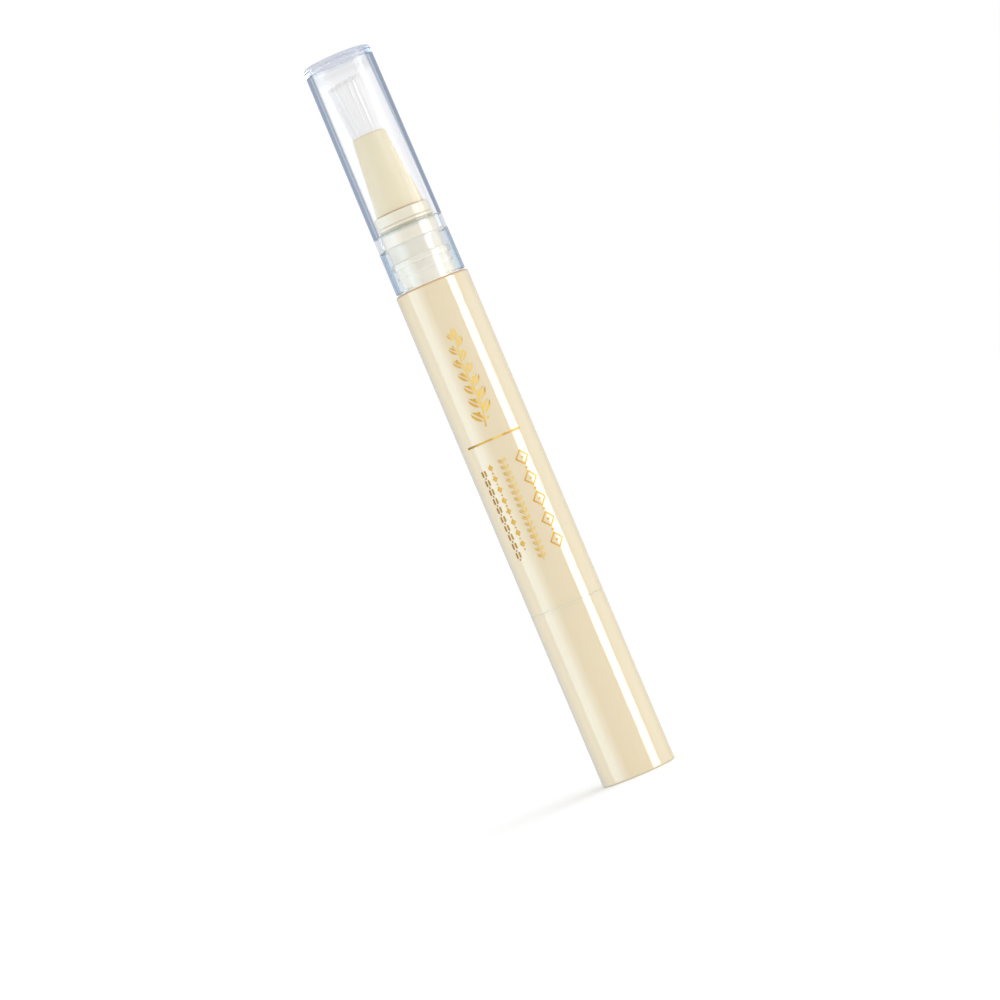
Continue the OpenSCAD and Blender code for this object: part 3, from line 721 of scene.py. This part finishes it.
def black_rubber():
    finish = Finish("black_rubber")
    bloom = finish.grain(0.8, detail=4)
    fine = finish.grain(0.08, detail=3)
    return finish.done(finish.shader({
        "Base Color": finish.mix(bloom, *RUBBER_TONES),
        "Roughness": 0.50 + 0.20 * bloom,
        "Specular IOR Level": 0.4,
        "Normal": finish.bump(fine, 0.004),
    }))


# Modelling

ROUND = math.radians(40)          # edges that turn less than this are shaded as round


def add_piece(piece, body, finish, replaced=()):
    """Puts the piece's place into its mesh, and says what it rides on and stands for."""
    bpy.ops.object.select_all(action="DESELECT")
    piece.select_set(True)
    bpy.context.view_layer.objects.active = piece
    bpy.ops.object.transform_apply(location=True, rotation=True, scale=True)
    piece.data.materials.clear()
    piece.data.materials.append(finish)
    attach(piece, body)
    if replaced:
        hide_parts(*replaced)


def join(name, parts):
    bpy.ops.object.select_all(action="DESELECT")
    for part in parts:
        part.select_set(True)
    bpy.context.view_layer.objects.active = parts[0]
    bpy.ops.object.join()
    parts[0].name = parts[0].data.name = name
    return parts[0]


def copy_of(part, turn):
    """A copy with its own mesh, turned and moved by a matrix."""
    copy = part.copy()
    copy.data = part.data.copy()
    copy.data.transform(turn)
    bpy.context.scene.collection.objects.link(copy)
    return copy


def use_modifier(piece, kind, **settings):
    modifier = piece.modifiers.new(kind.lower(), kind)
    for key, setting in settings.items():
        setattr(modifier, key, setting)
    bpy.context.view_layer.objects.active = piece
    bpy.ops.object.modifier_apply(modifier=modifier.name)


def add_disc(sides, radius, place=(0, 0, 0), rotation=(0, 0, 0)):
    """A flat disc, and the only object selected."""
    bpy.ops.object.select_all(action="DESELECT")
    bpy.ops.mesh.primitive_circle_add(vertices=sides, radius=radius, fill_type="NGON",
                                      location=place, rotation=rotation)
    return bpy.context.object


def cut_hole(wide):
    """Leaves only a band this wide inside the edge of the disc that was just added."""
    bpy.ops.object.mode_set(mode="EDIT")
    bpy.ops.mesh.select_all(action="SELECT")
    bpy.ops.mesh.inset(thickness=wide)
    bpy.ops.mesh.delete(type="FACE")
    bpy.ops.object.mode_set(mode="OBJECT")


def close_mesh():
    """Turns every face outwards, and leaves edit mode."""
    bpy.ops.mesh.select_all(action="SELECT")
    bpy.ops.mesh.normals_make_consistent(inside=False)
    bpy.ops.object.mode_set(mode="OBJECT")


def add_ring(sides, radius, wide, low, tall):
    """A flat ring: a disc with a hole, raised."""
    ring = add_disc(sides, radius, (0, 0, low))
    cut_hole(wide)
    bpy.ops.object.mode_set(mode="EDIT")
    bpy.ops.mesh.select_all(action="SELECT")
    bpy.ops.mesh.extrude_region_move(TRANSFORM_OT_translate={"value": (0, 0, tall)})
    close_mesh()
    return ring


def add_rod(sides, radius, steps, tip=1.0):
    """A rod a unit tall: a disc extruded in steps down to a share of its width."""
    rod = add_disc(sides, radius)
    bpy.ops.object.mode_set(mode="EDIT")
    for step in range(steps):
        before, after = 1 - (1 - tip) * step / steps, 1 - (1 - tip) * (step + 1) / steps
        bpy.ops.mesh.extrude_region_move(TRANSFORM_OT_translate={"value": (0, 0, 1 / steps)})
        bpy.ops.transform.resize(value=(after / before, after / before, 1))
    close_mesh()
    return rod


# Brush

STRANDS = 800
RIM_STRANDS = 92                  # in a ring round the others
GOLDEN_TURN = math.pi * (3 - math.sqrt(5))
STRAND_SIDES = 6
STRAND_STEPS = 5
STRAND_R = 0.10 * MM
STRAND_TIP = 0.75                 # the end's share of the strand's radius
STRAND_ROUND = math.radians(60)
STRAND_SUNK = 0.9                 # how far up the fused slice strands start, as a share of it
SLICE_LEN = 1.0 * MM              # the fused slice at the brush's foot
SLICE_SIDES = 72
CORE_R = 0.78 * MM                # room round the feed tube
CORE_SIDES = 96
CORE_SHARE = 0.95                 # the solid middle's share of the brush's radius
CORE_SUNK = 0.5                   # how far up the fused slice it starts, as a share of it
CORE_SHORT = 0.9 * MM             # how far that middle ends below the strands
FOOT_R, END_R = 2.86 * MM, 3.45 * MM
FLARE = 1.4                       # over 1, strands spread more towards their ends
SHIFT = -0.36 * MM                # how far the brush's end stands to the left
SLANT = 0.45 * MM                 # how much higher the brush's right side stands than its middle
STRAY = 0.06 * MM
RAGGED = 0.40 * MM
BOW = 0.10 * MM
SEED = 11


def on_curve(root, end, t):
    """A point on the way from root to end, where strands flare out more towards the end."""
    flare = t ** FLARE
    return Vector((root.x + (end.x - root.x) * flare, root.y + (end.y - root.y) * flare,
                   root.z + (end.z - root.z) * t))


def bend_strand(strand, root, end, bow):
    """Moves a unit strand's rings on to a curve from root to end."""
    for vertex in strand.data.vertices:
        t = vertex.co.z
        centre = on_curve(root, end, t) + bow * math.sin(math.pi * t)
        vertex.co = centre + Vector((vertex.co.x, vertex.co.y, 0))


def brush_end(across, reach):
    """Where a strand at a place in the brush's foot ends."""
    flare = across * reach * END_R / FOOT_R
    height = brush_high.z - SLANT + SLANT * flare.x / END_R
    return flare + Vector((SHIFT, 0, height))


def strand_place(i):
    """The direction of a strand from the axis, and its reach: spread evenly, or along the rim."""
    reach = math.sqrt(CORE_R ** 2 + (FOOT_R ** 2 - CORE_R ** 2) * (i + 0.5) / STRANDS)
    reach = max(min(reach, FOOT_R) - STRAND_R, CORE_R + STRAND_R)
    turn = GOLDEN_TURN * i if i < STRANDS else 2 * math.pi * i / RIM_STRANDS
    return Vector((math.cos(turn), math.sin(turn), 0)), reach


def add_slice():
    """The fused foot of the brush: a disc with a hole for the feed tube."""
    foot = add_ring(SLICE_SIDES, FOOT_R, FOOT_R - CORE_R, brush_low.z, SLICE_LEN)
    bpy.ops.object.shade_smooth_by_angle(angle=ROUND)
    return foot


def add_core():
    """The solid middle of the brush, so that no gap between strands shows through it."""
    core = add_rod(CORE_SIDES, FOOT_R * CORE_SHARE, 2 * STRAND_STEPS)
    for vertex in core.data.vertices:
        across, t = Vector((vertex.co.x, vertex.co.y, 0)), vertex.co.z
        root = across + Vector((0, 0, brush_low.z + SLICE_LEN * CORE_SUNK))
        end = brush_end(across.normalized(), across.length) - Vector((0, 0, CORE_SHORT))
        vertex.co = on_curve(root, end, t)
    bpy.ops.object.shade_smooth_by_angle(angle=ROUND)
    return core


def add_bristles(finish):
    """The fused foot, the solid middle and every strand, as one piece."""
    draw = random.Random(SEED)
    foot_z = brush_low.z + SLICE_LEN * STRAND_SUNK
    strand = add_rod(STRAND_SIDES, STRAND_R, STRAND_STEPS, STRAND_TIP)
    bpy.ops.object.shade_smooth_by_angle(angle=STRAND_ROUND)
    parts = [add_slice(), add_core()]
    for i in range(STRANDS + RIM_STRANDS):
        across, reach = strand_place(i)
        root = across * reach + Vector((0, 0, foot_z))
        end = brush_end(across, reach) + Vector((
            draw.gauss(0, STRAY), draw.gauss(0, STRAY), -RAGGED * draw.random() ** 2))
        bow = Vector((draw.uniform(-BOW, BOW), draw.uniform(-BOW, BOW), 0))
        parts.append(copy_of(strand, Matrix.Identity(4)))
        bend_strand(parts[-1], root, end, bow)
    bpy.data.objects.remove(strand)
    add_piece(join("bristles", parts), "barrel", finish, ["brush"])


# The lip between knob and barrel

LIP_SIDES = 192
LIP_IN = 0.006 * MM               # how far the lip stands in from the pen's side
LIP_WIDE = 0.50 * MM
LIP_SUNK = 0.13 * MM              # over the knob's round edge
LIP_FREE = 0.005 * MM             # from the barrel
LIP_EDGE, LIP_EDGE_STEPS = 0.012 * MM, 2


def add_lip(finish):
    """A thin lip on the knob that fills most of the gap under the barrel."""
    low = knob_top_z - LIP_SUNK
    lip = add_ring(LIP_SIDES, pen_r - LIP_IN, LIP_WIDE, low, barrel_low_z - LIP_FREE - low)
    lip.name = lip.data.name = "knob_lip"
    use_modifier(lip, "BEVEL", width=LIP_EDGE, segments=LIP_EDGE_STEPS, limit_method="ANGLE")
    bpy.ops.object.shade_smooth_by_angle(angle=ROUND)
    add_piece(lip, "knob", finish)


# Gold print

FOIL_PROUD = 0.010 * MM
FOIL_THICK = 0.006 * MM
FOIL_BAND = 0.35 * MM             # the foil is cut into upright bands this wide, and then bent
FOIL_ROUND = math.radians(30)
foil_r = pen_r + FOIL_PROUD

# Places across the print are measured round the barrel from its front
RULE_Z, RULE_TALL = barrel_top_z - 30.3 * MM, 0.36 * MM
RULE_START, RULE_END = -6.55 * MM, 4.85 * MM
BAR_ROUND, BAR_STEPS = 0.49, 4    # the rounding of a bar's ends, as a share of its width

LEAF_LEN, LEAF_HALF = 2.6 * MM, 0.52 * MM
LEAF_SIDES = 64                   # of the disc that it is a slice of
LEAF_LEAN = math.radians(42)
VEIN = 0.09 * MM

SPRIG_LOW, SPRIG_TOP = RULE_Z + 2.5 * MM, RULE_Z + 19.1 * MM
SPRIG_X, SPRIG_SWAY, SPRIG_SLANT = -0.45 * MM, 0.42 * MM, 1.2 * MM
SPRIG_LEAVES, SPRIG_FIRST = 13, 0.8    # and how far up the first one grows, in leaves
LOW_LEAF, LEAF_LOSS = 1.20, 0.42  # the size of leaves at its foot, and what they lose by its top
TOP_LEAF, TOP_LEAF_SUNK = 0.88, 0.1 * MM
BERRY, BERRY_OUT, BERRY_UP = 0.46 * MM, 0.72 * MM, 0.35 * MM
STEM_WIDE, STEM_STEPS = 0.24 * MM, 48
STEM_FOOT, STEM_LOSS = 1.2, 0.5   # a stem's width at its foot, and what it loses, as shares

MOTIF_TOP = RULE_Z - 3.5 * MM
LOZENGE_X, LOZENGE_PITCH, LOZENGES = 2.84 * MM, 4.0 * MM, 5
LOZENGE_WIDE, LOZENGE_TALL, LOZENGE_LINE = 2.8 * MM, 3.1 * MM, 0.28 * MM
LAUREL_X, LAUREL_PITCH, LAUREL_PAIRS = -0.76 * MM, 1.22 * MM, 16
LAUREL_LEAF, LAUREL_FIRST = 0.46, 0.4    # its leaves' size, and how far up the first pair grows
LAUREL_STEM = 0.14 * MM
LAUREL_FOOT, LAUREL_DROP = 0.5 * MM, 0.6 * MM    # of bare stem, and from MOTIF_TOP to its top
BEADS_X, BEADS_PITCH, BEADS = -3.35 * MM, 2.1 * MM, 8
BEAD_WIDE, BEAD_TALL, BEADS_DROP = 1.10 * MM, 1.35 * MM, 1.2 * MM
DASHES_X, DASHES_PITCH, DASHES = -5.17 * MM, 1.75 * MM, 10
DASH_WIDE, DASH_TALL, DASHES_DROP = 0.42 * MM, 1.15 * MM, 1.8 * MM
DASH_OUT = 0.36 * MM              # from the run's middle to each of its two lines
DOT, DOT_SIDES = 0.50 * MM, 16
LOZENGE_SIDES = 4
BEADS_DOT, DASHES_DOT = 0.8, 0.7  # the size of the dots between them


def add_spot(points, wide, tall):
    """A flat spot of foil, upright on the axis and facing the front."""
    spot = add_disc(points, 0.5, rotation=UPRIGHT)
    spot.scale = (wide, tall, 1)
    bpy.ops.object.transform_apply(rotation=True, scale=True)
    return spot


def add_bar(wide, tall):
    """A flat bar with round ends."""
    bpy.ops.object.select_all(action="DESELECT")
    bpy.ops.mesh.primitive_plane_add(size=1, rotation=UPRIGHT)
    bar = bpy.context.object
    bar.scale = (wide, tall, 1)
    bpy.ops.object.transform_apply(rotation=True, scale=True)
    bpy.ops.object.mode_set(mode="EDIT")
    bpy.ops.mesh.select_all(action="SELECT")
    bpy.ops.mesh.bevel(offset=BAR_ROUND * min(wide, tall), segments=BAR_STEPS, affect="VERTICES")
    bpy.ops.object.mode_set(mode="OBJECT")
    return bar


def add_lozenge():
    """The outline of a lozenge."""
    lozenge = add_spot(LOZENGE_SIDES, LOZENGE_WIDE, LOZENGE_TALL)
    cut_hole(LOZENGE_LINE)
    return lozenge


def add_leaf():
    """A leaf that points up from the origin: a slice of a disc, mirrored across its vein."""
    disc_r = (LEAF_HALF ** 2 + LEAF_LEN ** 2 / 4) / (2 * LEAF_HALF)
    middle = (VEIN / 2 + LEAF_HALF - disc_r, 0, LEAF_LEN / 2)
    leaf = add_disc(LEAF_SIDES, disc_r, middle, UPRIGHT)
    bpy.ops.object.transform_apply(location=True, rotation=True)
    bpy.ops.object.mode_set(mode="EDIT")
    bpy.ops.mesh.select_all(action="SELECT")
    bpy.ops.mesh.bisect(plane_co=(VEIN / 2, 0, 0), plane_no=(1, 0, 0), clear_inner=True)
    bpy.ops.object.mode_set(mode="OBJECT")
    use_modifier(leaf, "MIRROR", use_mirror_merge=False)
    return leaf


def add_stem(wide, low, top, sway):
    """A long flat stem, which narrows and sways from side to side as it rises."""
    bpy.ops.object.select_all(action="DESELECT")
    bpy.ops.mesh.primitive_grid_add(x_subdivisions=1, y_subdivisions=STEM_STEPS, size=1,
                                    location=(0, 0, (low + top) / 2), rotation=UPRIGHT)
    stem = bpy.context.object
    stem.scale = (wide, top - low, 1)
    bpy.ops.object.transform_apply(location=True, rotation=True, scale=True)
    for vertex in stem.data.vertices:
        share = (vertex.co.z - low) / (top - low)
        vertex.co.x = vertex.co.x * (STEM_FOOT - STEM_LOSS * share) + sway(vertex.co.z)
    return stem


def at(x, z, lean=0.0, size=1.0):
    """The matrix that scales and leans a flat shape, and puts it in its place on the print."""
    return (Matrix.Translation((x, 0, z)) @ Matrix.Rotation(lean, 4, "Y")
            @ Matrix.Scale(size, 4))


def stamp(template, places):
    """A copy of the template at each place. The template itself goes."""
    copies = [copy_of(template, place) for place in places]
    bpy.data.objects.remove(template)
    return copies


def run_down(top, pitch, count):
    """Evenly spaced heights, from the top down."""
    return [top - i * pitch for i in range(count)]


def add_foil(name, parts, finish):
    """Joins flat foil, cuts it into upright bands and bends it round the barrel."""
    foil = join(name, parts)
    across = [vertex.co.x for vertex in foil.data.vertices]
    low, high = min(across), max(across)
    bpy.ops.object.mode_set(mode="EDIT")
    for i in range(1, math.ceil((high - low) / FOIL_BAND)):
        bpy.ops.mesh.select_all(action="SELECT")
        bpy.ops.mesh.bisect(plane_co=(low + i * FOIL_BAND, 0, 0), plane_no=(1, 0, 0))
    bpy.ops.object.mode_set(mode="OBJECT")
    use_modifier(foil, "SOLIDIFY", thickness=FOIL_THICK, offset=0)
    use_modifier(foil, "SIMPLE_DEFORM", deform_method="BEND", deform_axis="Z",
                 angle=(high - low) / foil_r)
    foil.data.transform(Matrix.Translation((0, -foil_r, 0)))
    bpy.ops.object.shade_smooth_by_angle(angle=FOIL_ROUND)
    add_piece(foil, "barrel", finish)


def add_rule(finish):
    rule = add_bar(RULE_END - RULE_START, RULE_TALL)
    rule.data.transform(at((RULE_START + RULE_END) / 2, RULE_Z))
    add_foil("gold_rule", [rule], finish)


def sprig_x(z):
    """How far across the sprig's stem is at a height."""
    share = (z - SPRIG_LOW) / (SPRIG_TOP - SPRIG_LOW)
    return SPRIG_X + SPRIG_SLANT * (share - 0.5) + SPRIG_SWAY * math.sin(2 * math.pi * share)


def add_sprig(finish):
    """A stem with leaves by turns to its left and right, and a berry across from each."""
    leaves, berries = [], []
    for i in range(SPRIG_LEAVES):
        share = (i + SPRIG_FIRST) / SPRIG_LEAVES
        z = SPRIG_LOW + (SPRIG_TOP - SPRIG_LOW) * share
        side = 1 if i % 2 else -1
        size = LOW_LEAF - LEAF_LOSS * share
        leaves.append(at(sprig_x(z), z, side * LEAF_LEAN, size))
        berries.append(at(sprig_x(z) - side * BERRY_OUT, z + BERRY_UP, 0, size))
    leaves.append(at(sprig_x(SPRIG_TOP), SPRIG_TOP - TOP_LEAF_SUNK, 0, TOP_LEAF))
    parts = [add_stem(STEM_WIDE, SPRIG_LOW, SPRIG_TOP, sprig_x)]
    parts += stamp(add_leaf(), leaves)
    parts += stamp(add_spot(DOT_SIDES, BERRY, BERRY), berries)
    add_foil("gold_sprig", parts, finish)


def stamp_dots(x, heights, size=1.0):
    return stamp(add_spot(DOT_SIDES, DOT, DOT), [at(x, z, 0, size) for z in heights])


def lozenge_run():
    """Lozenges, with a dot in each and between them."""
    heights = run_down(MOTIF_TOP - LOZENGE_TALL / 2, LOZENGE_PITCH, LOZENGES)
    between = [z + LOZENGE_PITCH / 2 for z in heights[1:]]
    lozenges = stamp(add_lozenge(), [at(LOZENGE_X, z) for z in heights])
    return lozenges + stamp_dots(LOZENGE_X, heights + between)


def laurel_run():
    """A stem with pairs of small leaves."""
    low = MOTIF_TOP - LAUREL_PITCH * LAUREL_PAIRS - LAUREL_FOOT
    heights = [low + (i + LAUREL_FIRST) * LAUREL_PITCH for i in range(LAUREL_PAIRS)]
    leaves = [at(LAUREL_X, z, side * LEAF_LEAN, LAUREL_LEAF) for z in heights for side in (-1, 1)]
    stem = add_stem(LAUREL_STEM, low, MOTIF_TOP - LAUREL_DROP, lambda z: LAUREL_X)
    return [stem] + stamp(add_leaf(), leaves)


def bead_run():
    """Pointed beads, with a dot under each."""
    heights = run_down(MOTIF_TOP - BEADS_DROP, BEADS_PITCH, BEADS)
    beads = stamp(add_spot(LOZENGE_SIDES, BEAD_WIDE, BEAD_TALL), [at(BEADS_X, z) for z in heights])
    return beads + stamp_dots(BEADS_X, [z - BEADS_PITCH / 2 for z in heights], BEADS_DOT)


def dash_run():
    """Two lines of dashes, with a dot under each pair."""
    heights = run_down(MOTIF_TOP - DASHES_DROP, DASHES_PITCH, DASHES)
    places = [at(DASHES_X + side * DASH_OUT, z) for z in heights for side in (-1, 1)]
    dashes = stamp(add_bar(DASH_WIDE, DASH_TALL), places)
    return dashes + stamp_dots(DASHES_X, [z - DASHES_PITCH / 2 for z in heights], DASHES_DOT)


def add_print():
    """The rule, the sprig over it, and four upright runs of ornament side by side under it."""
    finish = gold_foil()
    add_rule(finish)
    add_sprig(finish)
    add_foil("gold_columns", lozenge_run() + laurel_run() + bead_run() + dash_run(), finish)


# Carried-over nodes

def dress(finish, *names):
    for name in names:
        for slot in nodes[name].material_slots:
            slot.material = finish


def dress_nodes(cream):
    dress(cream, "barrel", "twist_knob")
    dress(satin_cream(), "tip_cone")
    dress(milky_neck(), "neck_fitting")
    dress(clear_cap(), "cap")
    dress(plain_plastic("acetal", ACETAL_TONES, roughness=0.28, size=4.0),
          "drive_sleeve", "screw_rod")
    dress(plain_plastic("natural_plastic", NATURAL_TONES, roughness=0.32, size=5.0),
          "ratchet_ring", "bearing_bush", "thread_nut", "piston", "reservoir", "feed_tube",
          "brush_bush")
    dress(black_rubber(), "neck_seal", "tip_seal")
    dress(drawn_steel(), "ratchet_spring")


set_camera()
set_world()
add_lamps()
add_floor()
add_panel()
cream = gloss_cream()
dress_nodes(cream)
add_bristles(nylon())
add_lip(cream)
add_print()
